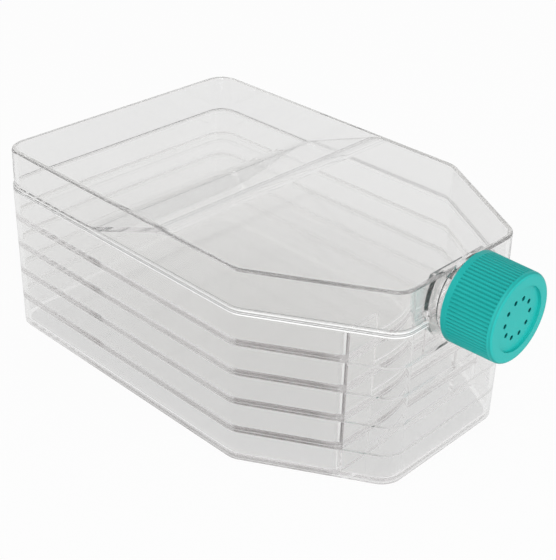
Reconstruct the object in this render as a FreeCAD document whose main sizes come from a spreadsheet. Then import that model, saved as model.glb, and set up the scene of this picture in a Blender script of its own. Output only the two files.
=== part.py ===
"""Five-level stacked cell culture flask with a vented screw cap.

The flask lies flat: +X runs from the rear wall to the cap, +Z is up, and the origin is
on the bench under the middle of the whole length. All sizes are in millimetres.
"""
import FreeCAD, Part
import math
import os
import Sketcher

doc = FreeCAD.newDocument("stacked_flask")

# Driving dimensions: name, value, what it is.
SIZES = (
    ("body_width", 125, "flask, across its parallel sides"),
    ("straight_length", 137.5, "flask, rear wall to the start of the shoulders"),
    ("shoulder_length", 51.5, "length over which the shoulders narrow"),
    ("nose_width", 64, "front wall, before its corners are rounded"),
    ("corner_radius", 10, "upright corners of the flask"),
    ("wall", 1.9, "outer walls and the wall in front of each growth chamber"),
    ("floor_thickness", 2.2, "growth floor of each tray"),
    ("tray_pitch", 12.7, "one level of the stack"),
    ("seam_gap", 0.1, "weld line between two pieces"),
    ("foot_height", 0.5, "rim that holds the lowest floor off the bench"),
    ("foot_inset", 1.5, "outer wall to the foot rim"),
    ("foot_width", 2, "width of the foot rim"),
    ("manifold_depth", 15.1, "front wall to the chamber walls, inside"),
    ("chamber_radius", 5, "upright front corners of each growth chamber"),
    ("spill_width", 50, "opening from each chamber into the manifold"),
    ("spill_sill", 4, "bottom of that opening above the tray's underside"),
    ("skirt_depth", 1.2, "locating skirt under each tray but the lowest"),
    ("skirt_thickness", 1, "locating skirt, across"),
    ("skirt_clearance", 0.15, "locating skirt to the wall round it"),
    ("cover_height", 18.2, "cover, from the top seam to its top face"),
    ("lip_height", 2.2, "proud rim round the bottom of the cover"),
    ("lip_step", 0.5, "how far that rim stands out from the cover's wall"),
    ("lip_rounding", 0.3, "rounding of that rim's upper edge"),
    ("cover_lean", 0.3, "how far the cover's walls lean in over their height"),
    ("cover_plate", 1.8, "cover's top, ramp and rear floor"),
    ("cover_wall", 1.9, "cover's walls at their top edge"),
    ("cover_rounding", 0.8, "rounding of the cover's outer top edge"),
    ("rear_floor", 2.3, "open rear pocket's floor above the top seam"),
    ("ramp_foot", 56.5, "rear wall to the corner between rear floor and ramp"),
    ("ramp_crest", 98.5, "rear wall to the corner between ramp and top face"),
    ("foot_radius", 14, "rounding at the foot of the ramp"),
    ("crest_radius", 28, "rounding at the crest of the ramp"),
    ("crest_overshoot", 0.05, "how far the crest's arc would pass the top face"),
    ("neck_rise", 5.8, "axis of the neck above the top seam"),
    ("neck_radius", 14, "neck tube, outside"),
    ("neck_wall", 1.8, "wall of the neck tube"),
    ("neck_clearance", 0.1, "neck to the walls that clamp it"),
    ("flange_reach", 4, "flange behind the front wall, beyond the tube"),
    ("flange_thickness", 1.6, "that flange, along the neck"),
    ("collar_reach", 1.3, "collar in front of the front wall, beyond the tube"),
    ("collar_thickness", 1.6, "that collar, along the neck"),
    ("clamp_side", 4.7, "top tray's tongue that holds the neck, beside the neck's hole"),
    ("cap_gap", 3.5, "front wall to the cap's rim"),
    ("cap_length", 20.5, "cap, along the neck"),
    ("thread_room", 1.9, "neck tube to the cap's inside, where the thread runs"),
    ("cap_wall", 1.6, "cap's wall at its rim, ribs included"),
    ("cap_taper", 0.4, "how much narrower the cap is at its front, in radius"),
    ("cap_rounding", 1.6, "rounding of the cap's front edge"),
    ("cap_plate", 1.6, "cap's end plate behind the recess"),
    ("end_rim", 5, "raised rim round the recess in the cap's end"),
    ("recess_depth", 1, "depth of that recess"),
    ("grip_collar", 2.3, "smooth collar between the cap's rim and its ribs"),
    ("rib_count", 72, "grip ribs round the cap"),
    ("rib_depth", 0.4, "depth of the grooves between the ribs"),
    ("groove_width", 1.1, "width of those grooves at the cap's surface"),
    ("groove_phase", 0.5, "turn of the first groove from the side, degrees"),
    ("vent_count", 10, "vent holes in the cap's end"),
    ("vent_ring", 7.3, "radius of the ring of vent holes"),
    ("vent_radius", 0.95, "each vent hole"),
    ("vent_phase", 1.5, "turn of the first vent hole from the side, degrees"),
    ("membrane_lap", 1.5, "vent membrane over the liner, round its hole"),
    ("membrane_thickness", 0.4, "vent membrane"),
    ("liner_lap", 2.2, "sealing liner, inwards of the neck's bore"),
    ("liner_thickness", 1.4, "sealing liner"),
    ("liner_clearance", 0.3, "sealing liner to the cap's inside"),
    ("running_gap", 0.1, "liner and membrane to the neck's rim and the cap's plate"),
)

sheet = doc.addObject("Spreadsheet::Sheet", "sizes")
for row, (name, value, note) in enumerate(SIZES, start=1):
    sheet.set(f"A{row}", name)
    sheet.set(f"B{row}", str(value))
    sheet.set(f"C{row}", note)
    sheet.setAlias(f"B{row}", name)
doc.recompute()

# Places along X, and the slope of the shoulders.
TOTAL = "(sizes.straight_length + sizes.shoulder_length + sizes.cap_gap + sizes.cap_length)"
REAR_X = f"(-{TOTAL} / 2)"
SHOULDER_X = f"({REAR_X} + sizes.straight_length)"
NOSE_X = f"({SHOULDER_X} + sizes.shoulder_length)"
MANIFOLD_X = f"({NOSE_X} - sizes.wall - sizes.manifold_depth)"
SLOPE = "((sizes.body_width - sizes.nose_width) / 2 / sizes.shoulder_length)"
SECANT = f"sqrt(1 + {SLOPE} * {SLOPE})"

# Places along Z.
COVER_Z = "(sizes.foot_height + 5 * sizes.tray_pitch)"
CEILING = "(sizes.cover_height - sizes.cover_plate)"
NECK_Z = f"({COVER_Z} + sizes.neck_rise)"

# Radii that follow from the neck tube.
BORE_RADIUS = "(sizes.neck_radius - sizes.neck_wall)"
CLAMP_HALF = "(sizes.neck_radius + sizes.neck_clearance + sizes.clamp_side)"
CAP_BORE = "(sizes.neck_radius + sizes.thread_room)"
CAP_RADIUS = f"({CAP_BORE} + sizes.cap_wall)"
RECESS_RADIUS = f"({CAP_RADIUS} - sizes.end_rim)"
LINER_BORE = f"({BORE_RADIUS} - sizes.liner_lap)"


def number(formula):
    """Present value of a formula on the sheet."""
    return float(sheet.evalExpression(formula))


def new_body(label, height="0"):
    """An empty body whose own origin lies at the given height."""
    body = doc.addObject("PartDesign::Body", label)
    body.Label = label
    body.setExpression("Placement.Base.z", height)
    return body


def origin_feature(body, role):
    """One of the body's own planes or axes."""
    return [feature for feature in body.Origin.OriginFeatures if feature.Role == role][0]


def new_sketch(body, name, plane, offset="0"):
    """A sketch on one of the body's own planes, moved along that plane's normal."""
    sketch = body.newObject("Sketcher::SketchObject", name)
    sketch.AttachmentSupport = (origin_feature(body, plane), [""])
    sketch.MapMode = "FlatFace"
    sketch.setExpression("AttachmentOffset.Base.z", offset)
    return sketch


def bind(sketch, constraint, formula):
    """Add a dimension to the sketch and bind it to a formula."""
    index = sketch.addConstraint(constraint)
    sketch.setExpression(f"Constraints[{index}]", formula)


def bind_point(sketch, element, end, x, y):
    """Place a point of the sketch by formulas for its two coordinates."""
    bind(sketch, Sketcher.Constraint("DistanceX", -1, 1, element, end, number(x)), x)
    bind(sketch, Sketcher.Constraint("DistanceY", -1, 1, element, end, number(y)), y)


def draw_outline(sketch, corners):
    """Draw a closed outline, run anticlockwise, with straight runs between its corners.

    A corner is (x, y) where it is sharp, (x, y, radius) where an arc about that centre
    rounds it, and (x, y, radius, "hollow") where that arc bends inwards.
    """
    count = len(corners)
    centres = [FreeCAD.Vector(number(c[0]), number(c[1]), 0) for c in corners]
    bends = [number(c[2]) if len(c) > 2 else 0 for c in corners]
    bends = [-bend if len(c) > 3 else bend for bend, c in zip(bends, corners)]
    outward = []
    for i in range(count):
        span = centres[(i + 1) % count] - centres[i]
        lean = (bends[i] - bends[(i + 1) % count]) / span.Length
        span.normalize()
        side = FreeCAD.Vector(span.y, -span.x, 0)
        outward.append(side * math.sqrt(1 - lean * lean) + span * lean)

    lines = []
    for i in range(count):
        start = centres[i] + outward[i] * bends[i]
        end = centres[(i + 1) % count] + outward[i] * bends[(i + 1) % count]
        lines.append(sketch.addGeometry(Part.LineSegment(start, end)))

    for i in range(count):
        before = lines[i - 1]
        after = lines[i]
        if bends[i] == 0:
            sketch.addConstraint(Sketcher.Constraint("Coincident", before, 2, after, 1))
            bind_point(sketch, after, 1, corners[i][0], corners[i][1])
            continue
        turn = math.copysign(1, bends[i])
        angles = [math.atan2(n.y * turn, n.x * turn) for n in (outward[i - 1], outward[i])]
        first, last = angles if turn > 0 else reversed(angles)
        if last < first:
            last += 2 * math.pi
        circle = Part.Circle(centres[i], FreeCAD.Vector(0, 0, 1), abs(bends[i]))
        arc = sketch.addGeometry(Part.ArcOfCircle(circle, first, last))
        ends = (1, 2) if turn > 0 else (2, 1)
        sketch.addConstraint(Sketcher.Constraint("Tangent", before, 2, arc, ends[0]))
        sketch.addConstraint(Sketcher.Constraint("Tangent", arc, ends[1], after, 1))
        bind_point(sketch, arc, 3, corners[i][0], corners[i][1])
        bind(sketch, Sketcher.Constraint("Radius", arc, abs(bends[i])), corners[i][2])


def draw_circle(sketch, x, y, radius):
    """Draw a circle about a placed centre."""
    centre = FreeCAD.Vector(number(x), number(y), 0)
    circle = sketch.addGeometry(Part.Circle(centre, FreeCAD.Vector(0, 0, 1), number(radius)))
    bind_point(sketch, circle, 3, x, y)
    bind(sketch, Sketcher.Constraint("Radius", circle, number(radius)), radius)


def draw_flat_topped_circle(sketch, radius, flat):
    """Draw a circle about the sketch's origin, cut off level at a height above it."""
    reach = math.asin(number(flat) / number(radius))
    circle = Part.Circle(FreeCAD.Vector(0, 0, 0), FreeCAD.Vector(0, 0, 1), number(radius))
    arc = sketch.addGeometry(Part.ArcOfCircle(circle, math.pi - reach, 2 * math.pi + reach))
    shape = sketch.Geometry[arc]
    chord = sketch.addGeometry(Part.LineSegment(shape.EndPoint, shape.StartPoint))
    sketch.addConstraint(Sketcher.Constraint("Coincident", arc, 2, chord, 1))
    sketch.addConstraint(Sketcher.Constraint("Coincident", chord, 2, arc, 1))
    sketch.addConstraint(Sketcher.Constraint("Coincident", arc, 3, -1, 1))
    sketch.addConstraint(Sketcher.Constraint("Horizontal", chord))
    bind(sketch, Sketcher.Constraint("Radius", arc, number(radius)), radius)
    bind(sketch, Sketcher.Constraint("DistanceY", -1, 1, chord, 1, number(flat)), flat)


def extrude(body, kind, sketch, length, reverse=False, both_sides=False):
    """Pad or pocket a sketch of the body by a bound length."""
    feature = body.newObject(f"PartDesign::{kind}", f"{sketch.Name}_{kind.lower()}")
    feature.Profile = sketch
    feature.Type = "Length"
    feature.Reversed = reverse
    feature.Midplane = both_sides
    feature.setExpression("Length", length)
    return feature


def round_edges(body, name, feature, height, radius):
    """Round the edges of a feature that lie at or above a height in the body."""
    doc.recompute()
    edges = [f"Edge{i}" for i, edge in enumerate(feature.Shape.Edges, start=1)
             if edge.BoundBox.ZMin > number(height) - 0.001]
    rounding = body.newObject("PartDesign::Fillet", name)
    rounding.Base = (feature, edges)
    rounding.setExpression("Radius", radius)


def repeat_round_axis(body, name, feature, count):
    """Repeat a feature of the body evenly all round the body's X axis."""
    pattern = body.newObject("PartDesign::PolarPattern", name)
    pattern.Originals = [feature]
    pattern.Axis = (origin_feature(body, "X_Axis"), [""])
    pattern.Angle = 360
    pattern.setExpression("Occurrences", count)
    body.Tip = pattern


def flask_outline(inset):
    """The flask's outline from above, with its walls moved in by the inset."""
    radius = f"sizes.corner_radius - ({inset})"
    side = "(sizes.body_width / 2 - sizes.corner_radius)"
    shoulder = f"({SHOULDER_X} - sizes.corner_radius * ({SECANT} - 1) / {SLOPE})"
    nose = f"(sizes.nose_width / 2 - sizes.corner_radius * ({SECANT} - {SLOPE}))"
    return (
        (f"{REAR_X} + sizes.corner_radius", f"-{side}", radius),
        (shoulder, f"-{side}", radius),
        (f"{NOSE_X} - sizes.corner_radius", f"-{nose}", radius),
        (f"{NOSE_X} - sizes.corner_radius", nose, radius),
        (shoulder, side, radius),
        (f"{REAR_X} + sizes.corner_radius", side, radius),
    )


def chamber_outline(clearance):
    """A growth chamber's outline from above, less a clearance all round."""
    walls = list(flask_outline(f"sizes.wall + {clearance}"))
    front_x = f"({MANIFOLD_X} - sizes.wall - sizes.chamber_radius)"
    reach = f"({NOSE_X} - {front_x})"
    front_y = (f"(sizes.nose_width / 2 + {reach} * {SLOPE}"
               f" - (sizes.wall + sizes.chamber_radius) * {SECANT})")
    radius = f"sizes.chamber_radius - {clearance}"
    walls[2] = (front_x, f"-{front_y}", radius)
    walls[3] = (front_x, front_y, radius)
    return walls


def manifold_outline():
    """The upright duct between the chamber walls and the front wall, from above."""
    walls = flask_outline("sizes.wall")
    back_y = (f"(sizes.nose_width / 2 + ({NOSE_X} - {MANIFOLD_X}) * {SLOPE}"
              f" - sizes.wall * {SECANT})")
    return ((MANIFOLD_X, f"-{back_y}"), walls[2], walls[3], (MANIFOLD_X, back_y))


def rectangle(x_low, x_high, y_low, y_high):
    """Four sharp corners."""
    return ((x_low, y_low), (x_high, y_low), (x_high, y_high), (x_low, y_high))


def make_tray(label, level, lowest=False):
    """One level of the stack: growth floor, walls, spill opening and manifold."""
    body = new_body(label, f"sizes.foot_height + {level} * sizes.tray_pitch")
    rim = "(sizes.tray_pitch - sizes.seam_gap)"

    block = new_sketch(body, f"{label}_block", "XY_Plane")
    draw_outline(block, flask_outline("0"))
    extrude(body, "Pad", block, rim)

    chamber = new_sketch(body, f"{label}_chamber", "XY_Plane", rim)
    draw_outline(chamber, chamber_outline("0"))
    extrude(body, "Pocket", chamber, f"{rim} - sizes.floor_thickness")

    manifold = new_sketch(body, f"{label}_manifold", "XY_Plane", rim)
    draw_outline(manifold, manifold_outline())
    extrude(body, "Pocket", manifold, f"{rim} - sizes.floor_thickness" if lowest else rim)

    spill = new_sketch(body, f"{label}_spill", "XY_Plane", rim)
    half = "sizes.spill_width / 2"
    draw_outline(spill, rectangle(f"{MANIFOLD_X} - 2 * sizes.wall", f"{MANIFOLD_X} + sizes.wall",
                                  f"-{half}", half))
    extrude(body, "Pocket", spill, f"{rim} - sizes.spill_sill")

    if lowest:
        foot = new_sketch(body, f"{label}_foot", "XY_Plane")
        draw_outline(foot, flask_outline("sizes.foot_inset"))
        draw_outline(foot, flask_outline("(sizes.foot_inset + sizes.foot_width)"))
        extrude(body, "Pad", foot, "sizes.foot_height", reverse=True)
    else:
        skirt = new_sketch(body, f"{label}_skirt", "XY_Plane")
        draw_outline(skirt, chamber_outline("sizes.skirt_clearance"))
        draw_outline(skirt, chamber_outline("(sizes.skirt_clearance + sizes.skirt_thickness)"))
        extrude(body, "Pad", skirt, "sizes.skirt_depth", reverse=True)
    return body


# The stack: the base tray and four trays above it, welded at their seams.
base_tray = make_tray("base_tray", 0, lowest=True)
tray_4 = make_tray("tray_4", 1)
tray_3 = make_tray("tray_3", 2)
tray_2 = make_tray("tray_2", 3)
tray_1 = make_tray("tray_1", 4)

# The top tray's front wall rises as a thick tongue, with a saddle for the neck's lower half.
CLAMP_DEPTH = "(sizes.lip_step + sizes.cover_lean + sizes.cover_wall)"
TRAY_1_Z = "(sizes.foot_height + 4 * sizes.tray_pitch)"
tongue = new_sketch(tray_1, "tray_1_tongue", "XY_Plane")
draw_outline(tongue, rectangle(f"{NOSE_X} - {CLAMP_DEPTH}", NOSE_X, f"-{CLAMP_HALF}", CLAMP_HALF))
extrude(tray_1, "Pad", tongue, f"{NECK_Z} - {TRAY_1_Z} - sizes.seam_gap / 2")
saddle = new_sketch(tray_1, "tray_1_saddle", "YZ_Plane", f"{NOSE_X} + sizes.wall")
draw_circle(saddle, "0", f"{NECK_Z} - {TRAY_1_Z}",
            "sizes.neck_radius + sizes.neck_clearance")
extrude(tray_1, "Pocket", saddle, f"{CLAMP_DEPTH} + 2 * sizes.wall")

# The cover's block: a proud lip, then walls that lean in.
cover_block = new_body("cover_block", COVER_Z)
lip = new_sketch(cover_block, "cover_lip", "XY_Plane")
draw_outline(lip, flask_outline("0"))
lip_pad = extrude(cover_block, "Pad", lip, "sizes.lip_height")
round_edges(cover_block, "cover_lip_rounding", lip_pad, "sizes.lip_height", "sizes.lip_rounding")
wall_foot = new_sketch(cover_block, "cover_wall_foot", "XY_Plane", "sizes.lip_height")
draw_outline(wall_foot, flask_outline("sizes.lip_step"))
wall_top = new_sketch(cover_block, "cover_wall_top", "XY_Plane", "sizes.cover_height")
draw_outline(wall_top, flask_outline("(sizes.lip_step + sizes.cover_lean)"))
walls = cover_block.newObject("PartDesign::AdditiveLoft", "cover_walls")
walls.Profile = wall_foot
walls.Sections = [wall_top]
walls.Ruled = True
round_edges(cover_block, "cover_top_rounding", walls, "sizes.cover_height", "sizes.cover_rounding")

# Everything inside the cover's walls, from above and from the side. The ramp's two faces
# share the centres of their arcs, so the plate between them keeps its thickness.
cover_inside = new_body("cover_inside", COVER_Z)
inside = new_sketch(cover_inside, "cover_inside_outline", "XY_Plane", "-sizes.lip_height")
draw_outline(inside, flask_outline(CLAMP_DEPTH))
extrude(cover_inside, "Pad", inside, "sizes.cover_height + 2 * sizes.lip_height")

RISE = "(sizes.cover_height - sizes.rear_floor)"
RUN = "(sizes.ramp_crest - sizes.ramp_foot)"
HALF_TURN = f"((sqrt(1 + ({RISE} / {RUN})^2) - 1) * {RUN} / {RISE})"
FOOT_X = f"({REAR_X} + sizes.ramp_foot - sizes.foot_radius * {HALF_TURN})"
CREST_X = f"({REAR_X} + sizes.ramp_crest + sizes.crest_radius * {HALF_TURN})"
FOOT_Z = "(sizes.rear_floor + sizes.foot_radius)"
CREST_Z = "(sizes.cover_height + sizes.crest_overshoot - sizes.crest_radius)"
ABOVE_Z = "(sizes.cover_height + sizes.lip_height)"

above_ramp = new_body("above_ramp", COVER_Z)
above = new_sketch(above_ramp, "above_ramp_profile", "XZ_Plane")
draw_outline(above, (
    (REAR_X, "sizes.rear_floor"),
    (FOOT_X, FOOT_Z, "sizes.foot_radius"),
    (CREST_X, CREST_Z, "sizes.crest_radius", "hollow"),
    (f"{CREST_X} + sizes.crest_radius", "sizes.cover_height + sizes.crest_overshoot"),
    (f"{CREST_X} + sizes.crest_radius", ABOVE_Z),
    (REAR_X, ABOVE_Z),
))
extrude(above_ramp, "Pad", above, "sizes.body_width", both_sides=True)

under_ramp = new_body("under_ramp", COVER_Z)
under = new_sketch(under_ramp, "under_ramp_profile", "XZ_Plane")
draw_outline(under, (
    (REAR_X, "-sizes.lip_height"),
    (NOSE_X, "-sizes.lip_height"),
    (NOSE_X, f"{CEILING}"),
    (f"{CREST_X} + sizes.crest_radius", f"{CEILING}"),
    (CREST_X, f"{CREST_Z} - sizes.crest_overshoot", "sizes.crest_radius - sizes.cover_plate"),
    (FOOT_X, FOOT_Z, "sizes.foot_radius + sizes.cover_plate", "hollow"),
    (REAR_X, "sizes.rear_floor - sizes.cover_plate"),
))
extrude(under_ramp, "Pad", under, "sizes.body_width", both_sides=True)

rear_pocket = doc.addObject("Part::Common", "rear_pocket")
rear_pocket.Base = cover_inside
rear_pocket.Tool = above_ramp
cover_cavity = doc.addObject("Part::Common", "cover_cavity")
cover_cavity.Base = cover_inside
cover_cavity.Tool = under_ramp

# What the neck takes out of the cover: a slot for the tray's tongue, and the upper half of
# the neck's hole, which stops level with the ceiling.
HOLE_X = f"({NOSE_X} - {CLAMP_DEPTH} - sizes.wall)"
HOLE_LENGTH = f"({CLAMP_DEPTH} + 2 * sizes.wall)"

tongue_slot = doc.addObject("Part::Box", "tongue_slot")
tongue_slot.setExpression("Length", HOLE_LENGTH)
tongue_slot.setExpression("Width", f"2 * ({CLAMP_HALF} + sizes.seam_gap)")
tongue_slot.setExpression("Height", "sizes.neck_rise + sizes.seam_gap / 2 + sizes.wall")
tongue_slot.setExpression("Placement.Base.x", HOLE_X)
tongue_slot.setExpression("Placement.Base.y", f"-({CLAMP_HALF} + sizes.seam_gap)")
tongue_slot.setExpression("Placement.Base.z", f"{COVER_Z} - sizes.wall")

neck_hole = new_body("neck_hole", NECK_Z)
hole = new_sketch(neck_hole, "neck_hole_outline", "YZ_Plane", HOLE_X)
draw_flat_topped_circle(hole, "sizes.neck_radius + sizes.neck_clearance",
                        f"{CEILING} - sizes.neck_rise")
extrude(neck_hole, "Pad", hole, HOLE_LENGTH)

cover_openings = doc.addObject("Part::MultiFuse", "cover_openings")
cover_openings.Shapes = [rear_pocket, cover_cavity, tongue_slot, neck_hole]
top_cover = doc.addObject("Part::Cut", "top_cover")
top_cover.Base = cover_block
top_cover.Tool = cover_openings

# The neck, clamped between the top tray and the cover: inner flange, tube and collar.
NECK_FLAT = f"({CEILING} - sizes.neck_rise - sizes.neck_clearance)"
FLANGE_X = f"({NOSE_X} - {CLAMP_DEPTH} - sizes.neck_clearance - sizes.flange_thickness)"
COLLAR_X = f"({NOSE_X} + sizes.neck_clearance)"
PLATE_X = f"({NOSE_X} + sizes.cap_gap + sizes.cap_length - sizes.recess_depth - sizes.cap_plate)"
MEMBRANE_X = f"({PLATE_X} - sizes.running_gap - sizes.membrane_thickness)"
LINER_X = f"({MEMBRANE_X} - sizes.liner_thickness)"
NECK_TIP = f"({LINER_X} - sizes.running_gap)"

neck = new_body("neck", NECK_Z)
flange = new_sketch(neck, "neck_flange", "YZ_Plane", FLANGE_X)
draw_flat_topped_circle(flange, "sizes.neck_radius + sizes.flange_reach", NECK_FLAT)
extrude(neck, "Pad", flange, "sizes.flange_thickness")
spigot = new_sketch(neck, "neck_spigot", "YZ_Plane", FLANGE_X)
draw_flat_topped_circle(spigot, "sizes.neck_radius", NECK_FLAT)
extrude(neck, "Pad", spigot, f"{COLLAR_X} - {FLANGE_X}")
collar = new_sketch(neck, "neck_collar", "YZ_Plane", COLLAR_X)
draw_circle(collar, "0", "0", "sizes.neck_radius + sizes.collar_reach")
extrude(neck, "Pad", collar, "sizes.collar_thickness")
tube = new_sketch(neck, "neck_tube", "YZ_Plane", COLLAR_X)
draw_circle(tube, "0", "0", "sizes.neck_radius")
extrude(neck, "Pad", tube, f"{NECK_TIP} - {COLLAR_X}")
bore = new_sketch(neck, "neck_bore", "YZ_Plane", NECK_TIP)
draw_circle(bore, "0", "0", BORE_RADIUS)
extrude(neck, "Pocket", bore, f"{NECK_TIP} - {COLLAR_X} - sizes.collar_thickness")
throat = new_sketch(neck, "neck_throat", "YZ_Plane", NECK_TIP)
draw_flat_topped_circle(throat, BORE_RADIUS, f"{NECK_FLAT} - sizes.neck_wall")
extrude(neck, "Pocket", throat, f"{NECK_TIP} - {FLANGE_X}")

# The cap: turned profile, then the vent holes.
RIM_X = f"({NOSE_X} + sizes.cap_gap)"
FRONT_X = f"({RIM_X} + sizes.cap_length)"
cap = new_body("cap", NECK_Z)
profile = new_sketch(cap, "cap_profile", "XZ_Plane")
draw_outline(profile, (
    (PLATE_X, "0"),
    (f"{FRONT_X} - sizes.recess_depth", "0"),
    (f"{FRONT_X} - sizes.recess_depth", RECESS_RADIUS),
    (FRONT_X, RECESS_RADIUS),
    (f"{FRONT_X} - sizes.cap_rounding",
     f"{CAP_RADIUS} - sizes.cap_taper - sizes.cap_rounding", "sizes.cap_rounding"),
    (RIM_X, CAP_RADIUS),
    (RIM_X, CAP_BORE),
    (PLATE_X, CAP_BORE),
))
turned = cap.newObject("PartDesign::Revolution", "cap_turned")
turned.Profile = profile
turned.ReferenceAxis = (origin_feature(cap, "X_Axis"), [""])
turned.Angle = 360
vent = new_sketch(cap, "cap_vent", "YZ_Plane", FRONT_X)
draw_circle(vent, "sizes.vent_ring * cos(sizes.vent_phase)",
            "sizes.vent_ring * sin(sizes.vent_phase)", "sizes.vent_radius")
vent_hole = extrude(cap, "Pocket", vent, "sizes.recess_depth + 2 * sizes.cap_plate")
repeat_round_axis(cap, "cap_vents", vent_hole, "sizes.vent_count")

# The grip: V-shaped grooves that keep their depth along the taper, between the smooth collar
# and the rounded front edge.
def draw_groove(name, x, surface_radius):
    """Section of the first groove where the cap's surface has the given radius."""
    section = new_sketch(cap, name, "YZ_Plane", x)
    floor = f"({surface_radius} - sizes.rib_depth)"
    outside = f"({surface_radius} + sizes.rib_depth)"
    along = "cos(sizes.groove_phase)"
    across = "sin(sizes.groove_phase)"
    draw_outline(section, (
        (f"{floor} * {along}", f"{floor} * {across}"),
        (f"{outside} * {along} + sizes.groove_width * {across}",
         f"{outside} * {across} - sizes.groove_width * {along}"),
        (f"{outside} * {along} - sizes.groove_width * {across}",
         f"{outside} * {across} + sizes.groove_width * {along}"),
    ))
    return section


groove = cap.newObject("PartDesign::SubtractiveLoft", "cap_groove")
REAR_RADIUS = f"({CAP_RADIUS} - sizes.cap_taper * sizes.grip_collar / sizes.cap_length)"
groove.Profile = draw_groove("groove_rear", f"{RIM_X} + sizes.grip_collar", REAR_RADIUS)
groove.Sections = [draw_groove("groove_front", f"{FRONT_X} - sizes.cap_rounding",
                               f"({CAP_RADIUS} - sizes.cap_taper)")]
groove.Ruled = True
repeat_round_axis(cap, "cap_grooves", groove, "sizes.rib_count")

# Under the cap's end plate: the vent membrane and the liner that seals on the neck's rim.
vent_membrane = new_body("vent_membrane", NECK_Z)
disc = new_sketch(vent_membrane, "membrane_disc", "YZ_Plane", MEMBRANE_X)
draw_circle(disc, "0", "0", f"{LINER_BORE} + sizes.membrane_lap")
extrude(vent_membrane, "Pad", disc, "sizes.membrane_thickness")

seal_liner = new_body("seal_liner", NECK_Z)
washer = new_sketch(seal_liner, "liner_ring", "YZ_Plane", LINER_X)
draw_circle(washer, "0", "0", f"{CAP_BORE} - sizes.liner_clearance")
draw_circle(washer, "0", "0", LINER_BORE)
extrude(seal_liner, "Pad", washer, "sizes.liner_thickness")

doc.recompute()

PIECES = (base_tray, tray_4, tray_3, tray_2, tray_1, top_cover, neck, cap, vent_membrane,
          seal_liner)
for thing in doc.Objects:
    if "Invalid" in thing.State or "Error" in thing.State:
        raise RuntimeError(f"{thing.Name} did not build: {thing.State}")
    if thing.TypeId == "PartDesign::Pocket":
        if thing.Shape.Volume > thing.BaseFeature.Shape.Volume - 1:
            raise RuntimeError(f"{thing.Name} cuts nothing")
for piece in PIECES:
    if piece.Shape.isNull() or not piece.Shape.isValid():
        raise RuntimeError(f"{piece.Label} has no sound shape")

os.makedirs("parts", exist_ok=True)
for piece in PIECES:
    piece.Shape.exportStep(f"parts/{piece.Label}.step")
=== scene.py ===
import math
import bpy
from mathutils import Matrix, Vector


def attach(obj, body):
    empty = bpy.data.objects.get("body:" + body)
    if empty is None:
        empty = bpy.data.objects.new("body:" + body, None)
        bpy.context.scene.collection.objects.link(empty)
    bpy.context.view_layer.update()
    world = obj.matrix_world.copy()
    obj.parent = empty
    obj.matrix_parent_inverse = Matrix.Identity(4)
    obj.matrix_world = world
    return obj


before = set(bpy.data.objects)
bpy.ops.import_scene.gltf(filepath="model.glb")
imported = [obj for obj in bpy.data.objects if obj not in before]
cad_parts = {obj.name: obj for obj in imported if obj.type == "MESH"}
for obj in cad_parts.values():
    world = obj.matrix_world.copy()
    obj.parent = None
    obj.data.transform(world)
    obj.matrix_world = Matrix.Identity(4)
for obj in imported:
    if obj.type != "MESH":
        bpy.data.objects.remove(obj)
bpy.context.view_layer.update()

# ---------------------------------------------------------------- studio
# The flask lies on a white table in an evenly lit white room. The table and the room look
# white to the eye and through the clear walls, and the table keeps the flask's shadow.
# The clear walls reflect light many times before it leaves them, so the bounces are many.
BOUNCES = 200
scene = bpy.context.scene
scene.view_settings.view_transform = "Standard"
scene.cycles.max_bounces = BOUNCES
scene.cycles.transmission_bounces = BOUNCES
scene.cycles.glossy_bounces = BOUNCES
scene.cycles.diffuse_bounces = 4
scene.cycles.sample_clamp_indirect = 6


class Wire:
    """A node's output, so that shader maths is written as an expression."""

    def __init__(self, graph, socket):
        self.graph = graph
        self.socket = socket

    def math(self, operation, *values):
        sockets = dict(enumerate(values))
        return self.graph.node("Math", {"operation": operation}, sockets)["Value"]

    def __add__(self, other):
        return self.math("ADD", self, other)

    def __sub__(self, other):
        return self.math("SUBTRACT", self, other)

    def __rsub__(self, other):
        return self.math("SUBTRACT", other, self)

    def __mul__(self, other):
        return self.math("MULTIPLY", self, other)

    def __mod__(self, other):
        return self.math("MODULO", self, other)

    def __rmod__(self, other):
        return self.math("MODULO", other, self)

    def __or__(self, other):
        return self.math("MAXIMUM", self, other)

    def __lt__(self, other):
        return self.math("LESS_THAN", self, other)

    def __gt__(self, other):
        return self.math("GREATER_THAN", self, other)

    def __abs__(self):
        return self.math("ABSOLUTE", self)

    __radd__ = __add__
    __rmul__ = __mul__
    __ror__ = __or__


class Graph:
    """The nodes of one material, or of the world."""

    def __init__(self, owner):
        owner.use_nodes = True
        self.tree = owner.node_tree
        self.tree.nodes.clear()

    def node(self, kind, settings, sockets):
        """Add a node: its settings first, then the value or the link of each socket."""
        node = self.tree.nodes.new("ShaderNode" + kind)
        for name, value in settings.items():
            if name == "stops":
                for stop, (position, colour) in zip(node.color_ramp.elements, value):
                    stop.position = position
                    stop.color = colour
                for position, colour in value[2:]:
                    node.color_ramp.elements.new(position).color = colour
            else:
                setattr(node, name, value)
        for name, value in sockets.items():
            slot = node.inputs[name]
            if not slot.enabled:
                slot = [other for other in node.inputs if other.enabled and other.name == name][0]
            if isinstance(value, Wire):
                self.tree.links.new(value.socket, slot)
            else:
                slot.default_value = value
        return {output.name: Wire(self, output) for output in node.outputs if output.enabled}

    def mix(self, factor, first, second):
        """A colour between two colours."""
        sockets = {"Factor": factor, "A": first, "B": second}
        return self.node("Mix", {"data_type": "RGBA"}, sockets)["Result"]

    def rays(self):
        """Whether a ray comes from the eye, and whether it comes by way of gloss or glass."""
        path = self.node("LightPath", {}, {})
        return path["Is Camera Ray"], path["Is Glossy Ray"] | path["Is Transmission Ray"]


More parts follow.
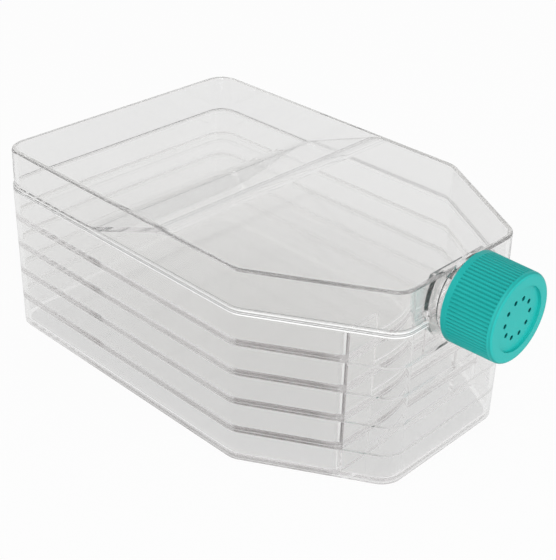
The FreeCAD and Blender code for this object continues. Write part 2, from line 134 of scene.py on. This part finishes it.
def look_from(azimuth, elevation, roll, lens, place):
    """Camera turned to an azimuth and elevation, then rolled about its own axis."""
    turned, raised, rolled = (math.radians(angle) for angle in (azimuth, elevation, roll))
    back = Vector((math.sin(turned) * math.cos(raised),
                   -math.cos(turned) * math.cos(raised),
                   math.sin(raised)))
    level = (-back).cross(Vector((0, 0, 1))).normalized()
    upright = level.cross(-back)
    right = level * math.cos(rolled) + upright * math.sin(rolled)
    up = upright * math.cos(rolled) - level * math.sin(rolled)
    data = bpy.data.cameras.new("camera")
    data.sensor_fit = "HORIZONTAL"
    data.lens = lens
    camera = bpy.data.objects.new("camera", data)
    scene.collection.objects.link(camera)
    turn = Matrix((right, up, back)).transposed().to_4x4()
    camera.matrix_world = Matrix.Translation(place) @ turn
    scene.camera = camera


look_from(azimuth=43.44, elevation=30.53, roll=1.78, lens=77.3,
          place=Vector((0.28297, -0.30647, 0.28519)))

TABLE_SIZE = 6
bpy.ops.object.select_all(action="DESELECT")
bpy.ops.mesh.primitive_plane_add(size=TABLE_SIZE, location=(0, 0, 0))
table = bpy.context.object
table.name = "table"

# How much of the table's and the room's look is plain white instead of lit paint: the table to
# the eye, the table by way of the clear walls, and the room by way of them.
TABLE_SHARE = 0.95
SEEN_SHARE = 0.63
ROOM_SHARE = 0.2
table_paint = bpy.data.materials.new("white_table")
graph = Graph(table_paint)
to_eye, through = graph.rays()
glow = graph.node("Emission", {}, {"Strength": 1})["Emission"]
paint = graph.node("BsdfDiffuse", {}, {"Color": (0.8, 0.8, 0.8, 1)})["BSDF"]
share = to_eye * TABLE_SHARE + through * SEEN_SHARE
surface = graph.node("MixShader", {}, {0: share, 1: paint, 2: glow})["Shader"]
graph.node("OutputMaterial", {}, {"Surface": surface})
table.data.materials.append(table_paint)

# The room's walls are brightest a little above the flask and dimmest overhead.
ROOM_TONES = (
    (0.00, (0.50, 0.50, 0.50, 1)),
    (1.00, (0.125, 0.125, 0.125, 1)),
    (0.40, (0.825, 0.825, 0.825, 1)),
    (0.62, (0.575, 0.575, 0.575, 1)))
room = bpy.data.worlds.new("white_room")
scene.world = room
graph = Graph(room)
direction = graph.node("TexCoord", {}, {})["Generated"]
height = graph.node("SeparateXYZ", {}, {"Vector": direction})["Z"]
walls = graph.node("ValToRGB", {"stops": ROOM_TONES}, {"Fac": height})["Color"]
to_eye, through = graph.rays()
seen = graph.mix(to_eye | through * ROOM_SHARE, walls, (1, 1, 1, 1))
light = graph.node("Background", {}, {"Color": seen})["Background"]
graph.node("OutputWorld", {}, {"Surface": light})


def softbox(name, place, width, height, power):
    """A large lamp behind a white diffuser, turned to the flask."""
    data = bpy.data.lights.new(name, "AREA")
    data.shape = "RECTANGLE"
    data.size = width
    data.size_y = height
    data.energy = power
    lamp = bpy.data.objects.new(name, data)
    scene.collection.objects.link(lamp)
    lamp.location = place
    lamp.rotation_euler = (-Vector(place)).to_track_quat("-Z", "Y").to_euler()
    lamp.visible_camera = False
    lamp.visible_transmission = False


softbox("low_front_softbox", (1.215, -0.986, 0.37), width=1.3, height=0.66, power=11.5)
softbox("high_front_softbox", (0.631, -0.666, 1.35), width=0.66, height=0.66, power=5.8)
softbox("right_softbox", (1.305, 0.312, 0.91), width=0.66, height=0.66, power=3)

# ---------------------------------------------------------------- stacked trays
# Five shallow trays are injection moulded in crystal polystyrene, polished in the mould, and
# welded to each other at their seams. Painted shade: the outer edge of each growth floor is
# painted a dark grey band for the shade the walls show there, fainter at the rear, as far forward
# as the wall between the growth chambers and the manifold.
LEVEL_HEIGHT = 0.0127
FOOT_HEIGHT = 0.0005
FLOOR_THICKNESS = 0.0022
MANIFOLD_WALL = 0.064
FAINT_UP_TO = -0.072
FULL_FROM = -0.048
FAINTEST = 0.4
# Painted shade: the grey of the dark bands at the growth floors' outer edges.
BAND_SHADE = (0.45, 0.435, 0.43, 1)


def noise(graph, place, scale, detail):
    """Soft random clouds from 0 to 1, so many to the metre."""
    return graph.node("TexNoise", {}, {"Vector": place, "Scale": scale, "Detail": detail})["Fac"]


class Moulding(Graph):
    """Clear plastic with the faint unevenness of a moulded, handled surface."""

    CLEAN = ((0.975, 0.974, 0.97, 1), (0.995, 0.994, 0.992, 1))
    SOAK = (0.5, 0.4, 0.4, 1)
    OUTWARD = 0.03  # how far a face looks away from the middle, to count as an outer one

    def __init__(self, name):
        self.look = bpy.data.materials.new(name)
        super().__init__(self.look)
        spot = self.node("TexCoord", {}, {})
        self.place = spot["Object"]
        parts = self.node("SeparateXYZ", {}, {"Vector": self.place})
        self.along = parts["X"]
        self.level = parts["Z"]
        reach = self.node("VectorMath", {"operation": "MULTIPLY"}, {
            0: self.place, 1: (1, 1, 0)})["Vector"]
        facing = self.node("VectorMath", {"operation": "DOT_PRODUCT"}, {
            0: reach, 1: spot["Normal"]})["Value"]
        self.outside = facing > self.OUTWARD
        self.flow = noise(self, self.place, scale=25, detail=2)
        self.clean = self.mix(self.flow, *self.CLEAN)

    def plastic(self, colour):
        """The clear plastic itself, in a colour that hardly differs from white."""
        handling = noise(self, self.place, scale=90, detail=3)
        uneven = self.node("Bump", {}, {
            "Strength": 0.2, "Distance": 0.00002, "Height": self.flow})["Normal"]
        return self.node("BsdfPrincipled", {}, {
            "Base Color": colour,
            "Roughness": handling * 0.02 + 0.025,
            "IOR": 1.59,
            "Transmission Weight": 1,
            "Normal": uneven})["BSDF"]

    def finish(self, surface):
        """The surface, over plastic that takes a little light out of what crosses it."""
        soak = self.node("VolumeAbsorption", {}, {"Color": self.SOAK, "Density": 0.8})["Volume"]
        self.node("OutputMaterial", {}, {"Surface": surface, "Volume": soak})


def coat(name, look):
    """Give one moulded piece its finish all over."""
    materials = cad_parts[name].data.materials
    materials.clear()
    materials.append(look)


stacked = Moulding("stacked_polystyrene")
edge = (stacked.level - FOOT_HEIGHT) % LEVEL_HEIGHT < FLOOR_THICKNESS
behind = stacked.along < MANIFOLD_WALL
forward = stacked.node("MapRange", {}, {
    "Value": stacked.along,
    "From Min": FAINT_UP_TO, "From Max": FULL_FROM,
    "To Min": FAINTEST, "To Max": 1})["Result"]
# Painted shade: a patchy dark grey band along the outer edge of each growth floor, fainter at the
# rear.
band_shade_patches = noise(stacked, stacked.place, scale=60, detail=2)
painted_band_shade = edge * behind * forward * stacked.outside * (band_shade_patches * 0.8 + 0.3)
stacked.finish(stacked.plastic(stacked.mix(painted_band_shade, stacked.clean, BAND_SHADE)))
for name in ("base_tray", "tray_4", "tray_3", "tray_2", "tray_1"):
    coat(name, stacked.look)

# ---------------------------------------------------------------- neck
# The neck is one moulding in the same polystyrene, welded into its seats in the top tray and
# the cover. Its thread is moulded with it: one right-handed ridge that runs two and a half
# times round, advances 4 mm a turn, and fades out at both ends.
NECK_HEIGHT = 0.0698
PITCH = 0.004
RIDGE_FOOT = 0.0018
RIDGE_TOP_SHARE = 0.45
STEPS_A_TURN = 72
FADE = (0.15, 0.35, 0.55, 0.75, 0.9)
TOUCHING = 0.00001
plain = Moulding("crystal_polystyrene")
plain.finish(plain.plastic(plain.clean))
coat("neck", plain.look)


def pick(mesh, wanted):
    """Select those points of the piece in hand that are wanted, and start editing them."""
    bpy.ops.object.mode_set(mode="EDIT")
    bpy.ops.mesh.select_all(action="DESELECT")
    bpy.ops.object.mode_set(mode="OBJECT")
    for number, point in enumerate(mesh.vertices):
        point.select = wanted(number, point)
    bpy.ops.object.mode_set(mode="EDIT")


def ridge(name, start, turns, root, crest):
    """A screw ridge round the neck's axis that stands from one radius to another."""
    bpy.ops.object.select_all(action="DESELECT")
    bpy.ops.mesh.primitive_plane_add(
        size=1, location=(start, 0, (root + crest) / 2), rotation=(math.pi / 2, 0, 0))
    piece = bpy.context.object
    piece.name = name
    piece.scale = (RIDGE_FOOT, abs(crest - root), 1)
    bpy.ops.object.transform_apply(location=True, rotation=True, scale=True)
    bpy.ops.object.mode_set(mode="EDIT")
    bpy.ops.mesh.select_mode(type="VERT")
    bpy.ops.mesh.select_all(action="SELECT")
    bpy.ops.mesh.delete(type="ONLY_FACE")
    pick(piece.data, lambda number, point: abs(point.co.z - crest) < TOUCHING)
    bpy.ops.transform.resize(value=(RIDGE_TOP_SHARE, 1, 1), center_override=(start, 0, crest))
    bpy.ops.object.mode_set(mode="OBJECT")
    corners = len(piece.data.vertices)
    last = round(STEPS_A_TURN * turns)
    screw = piece.modifiers.new("screw", "SCREW")
    screw.axis = "X"
    screw.angle = math.radians(360 * turns)
    screw.screw_offset = PITCH * turns
    screw.steps = screw.render_steps = last
    bpy.ops.object.modifier_apply(modifier="screw")
    for back, height in enumerate(FADE):
        for step in (back, last - back):
            angle = 2 * math.pi * step / STEPS_A_TURN
            along = start + PITCH * step / STEPS_A_TURN
            foot = (along, -root * math.sin(angle), root * math.cos(angle))
            pick(piece.data, lambda number, point: number // corners == step)
            bpy.ops.transform.resize(value=(height, height, height), center_override=foot)
            bpy.ops.object.mode_set(mode="OBJECT")
    bpy.ops.object.mode_set(mode="EDIT")
    bpy.ops.mesh.select_all(action="SELECT")
    bpy.ops.mesh.fill_holes(sides=corners)
    bpy.ops.mesh.normals_make_consistent(inside=False)
    bpy.ops.object.mode_set(mode="OBJECT")
    bpy.ops.object.shade_smooth_by_angle(angle=math.radians(35))
    piece.location.z = NECK_HEIGHT
    bpy.ops.object.transform_apply(location=True, rotation=False, scale=False)
    return piece


neck_thread = ridge("neck_thread", start=0.0892, turns=2.5, root=0.01395, crest=0.0152)
neck_thread.data.materials.append(plain.look)
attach(neck_thread, "flask")

# ---------------------------------------------------------------- cover
# The cover is moulded in the same polystyrene and welded to the top tray through its proud rim.
# Painted highlight: the rim's step, a line half way up it and the seam are painted frosted white,
# for the glints along those edges, in lines a few tenths of a millimetre high, each given by its
# height and half its width.
COVER_SEAM = 0.064
RIM_STEP = (0.00203, 0.0002)
HALFWAY_LINE = (0.0011, 0.00012)
SEAM_LINE = (0.0003, 0.0003)
# Painted highlight: the whites of the frosted lines that stand in for the rim's glints.
HIGHLIGHT_WHITE = ((0.95, 0.95, 0.94, 1), (1, 1, 1, 1))
welded = Moulding("welded_polystyrene")


def line(height, half):
    """A level line on the cover, at a height above its seam."""
    return abs(welded.level - (COVER_SEAM + height)) < half


# Painted highlight: white frosted lines at the rim's step, half way up it and at the seam.
painted_highlight = line(*RIM_STEP) + (line(*HALFWAY_LINE) + line(*SEAM_LINE)) * welded.outside
patches = noise(welded, welded.place, scale=150, detail=3)
flecks = noise(welded, welded.place, scale=2500, detail=2)
crust = welded.node("Bump", {}, {
    "Strength": 0.4, "Distance": 0.00003, "Height": flecks})["Normal"]
highlight_frost = welded.node("BsdfPrincipled", {}, {
    "Base Color": welded.mix(flecks, *HIGHLIGHT_WHITE),
    "Roughness": patches * 0.2 + 0.4,
    "Normal": crust})["BSDF"]
surface = welded.node("MixShader", {}, {
    0: painted_highlight * (patches * 0.3 + 0.65),
    1: welded.plastic(welded.clean),
    2: highlight_frost})["Shader"]
welded.finish(surface)
coat("top_cover", welded.look)

# ---------------------------------------------------------------- cap
# The screw cap is moulded in teal polyethylene. Its skin is satin from the mould, and the crests
# of the grip ribs are rubbed a little smoother. Painted shade: the grooves are painted a darker
# teal, and the vent holes near black.
CAP_RIM = 0.086
CAP_RADIUS = 0.0175
CAP_TAPER = 0.0004
CAP_LENGTH = 0.0205
CAP_SLOPE = CAP_TAPER / CAP_LENGTH
GROOVE_DEPTH = 0.0004
GROOVE_SHADE_SHARE = 0.55
RECESS_FLOOR = 0.1055
VENT_REACH = 0.0095
TEAL = ((0.008, 0.42, 0.39, 1), (0.014, 0.46, 0.425, 1))
GROOVE_SHADE_TEAL = (0.003, 0.25, 0.23, 1)
VENT_SHADE_TEAL = (0.001, 0.10, 0.10, 1)
teal = bpy.data.materials.new("teal_polyethylene")
graph = Graph(teal)
place = graph.node("TexCoord", {}, {})["Object"]
along = graph.node("SeparateXYZ", {}, {"Vector": place})["X"]
spoke = graph.node("VectorMath", {"operation": "SUBTRACT"}, {
    0: place, 1: (0, 0, NECK_HEIGHT)})["Vector"]
spoke = graph.node("VectorMath", {"operation": "MULTIPLY"}, {
    0: spoke, 1: (0, 1, 1)})["Vector"]
radius = graph.node("VectorMath", {"operation": "LENGTH"}, {0: spoke})["Value"]
skin_radius = (CAP_RADIUS + CAP_RIM * CAP_SLOPE) - along * CAP_SLOPE
sunk = (skin_radius - radius) * (1 / GROOVE_DEPTH)
groove = graph.node("MapRange", {"interpolation_type": "SMOOTHSTEP"}, {
    "Value": sunk, "From Min": 0.1, "From Max": 0.9})["Result"]
skirt = graph.node("MapRange", {}, {
    "Value": sunk, "From Min": 1.3, "From Max": 1.6, "To Min": 1, "To Max": 0})["Result"]
groove = groove * skirt
flow = noise(graph, place, scale=60, detail=2)
skin = graph.mix(flow, *TEAL)
# Painted shade: the grip grooves are painted a darker teal.
skin = graph.mix(groove * GROOVE_SHADE_SHARE, skin, GROOVE_SHADE_TEAL)
# Painted shade: inside the vent holes, below the recess floor, the teal is painted near black.
inside = graph.node("MapRange", {}, {
    "Value": radius, "From Min": VENT_REACH, "From Max": VENT_REACH - 0.0001})["Result"]
below = graph.node("MapRange", {}, {
    "Value": along,
    "From Min": RECESS_FLOOR - 0.00005, "From Max": RECESS_FLOOR - 0.0003})["Result"]
skin = graph.mix(inside * below, skin, VENT_SHADE_TEAL)
grain = noise(graph, place, scale=2600, detail=2)
satin = graph.node("Bump", {}, {
    "Strength": 0.5, "Distance": 0.00003, "Height": grain})["Normal"]
shell = graph.node("BsdfPrincipled", {}, {
    "Base Color": skin,
    "Roughness": groove * 0.15 + 0.4 + flow * 0.06,
    "Specular IOR Level": 0.3,
    "Normal": satin})["BSDF"]
graph.node("OutputMaterial", {}, {"Surface": shell})
coat("cap", teal)

# The ridge inside the cap is moulded with it and runs half a pitch away from the neck's, so
# that the two slide along each other as the cap turns.
cap_thread = ridge("cap_thread", start=0.0872, turns=2, root=0.01595, crest=0.0146)
cap_thread.data.materials.append(teal)
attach(cap_thread, "cap")

# ---------------------------------------------------------------- vent membrane
# A disc of white filter membrane is welded behind the cap's vents. It is a mat of fine fibres,
# so it is matt, slightly uneven and a little grey between the fibres.
FIBRE_WHITE = ((0.74, 0.74, 0.73, 1), (0.93, 0.93, 0.92, 1))
CLOUD_WHITE = (0.86, 0.86, 0.84, 1)
CLOUD_SHARE = 0.3
felt = bpy.data.materials.new("filter_membrane")
graph = Graph(felt)
place = graph.node("TexCoord", {}, {})["Object"]
fibres = graph.node("TexNoise", {}, {
    "Vector": place, "Scale": 1400, "Detail": 5, "Distortion": 1.5})["Fac"]
clouds = noise(graph, place, scale=300, detail=2)
weave = graph.mix(fibres, *FIBRE_WHITE)
weave = graph.mix(clouds * CLOUD_SHARE, weave, CLOUD_WHITE)
mat = graph.node("Bump", {}, {
    "Strength": 0.6, "Distance": 0.00005, "Height": fibres})["Normal"]
shell = graph.node("BsdfPrincipled", {}, {
    "Base Color": weave,
    "Roughness": fibres * 0.2 + 0.75,
    "Specular IOR Level": 0.3,
    "Normal": mat})["BSDF"]
graph.node("OutputMaterial", {}, {"Surface": shell})
coat("vent_membrane", felt)

# ---------------------------------------------------------------- seal liner
# A soft white ring is pressed into the cap and seals on the neck's mouth. It is foamed, so its
# skin has a fine orange peel and the faint cloudiness of the cells below.
FOAM_WHITE = ((0.80, 0.80, 0.78, 1), (0.90, 0.90, 0.88, 1))
foam = bpy.data.materials.new("soft_liner")
graph = Graph(foam)
place = graph.node("TexCoord", {}, {})["Object"]
cells = graph.node("TexVoronoi", {}, {"Vector": place, "Scale": 1800})["Distance"]
clouds = noise(graph, place, scale=250, detail=3)
ring = graph.mix(clouds, *FOAM_WHITE)
peel = graph.node("Bump", {}, {
    "Strength": 0.4, "Distance": 0.00003, "Height": cells})["Normal"]
shell = graph.node("BsdfPrincipled", {}, {
    "Base Color": ring,
    "Roughness": clouds * 0.15 + 0.5,
    "Normal": peel})["BSDF"]
graph.node("OutputMaterial", {}, {"Surface": shell})
coat("seal_liner", foam)
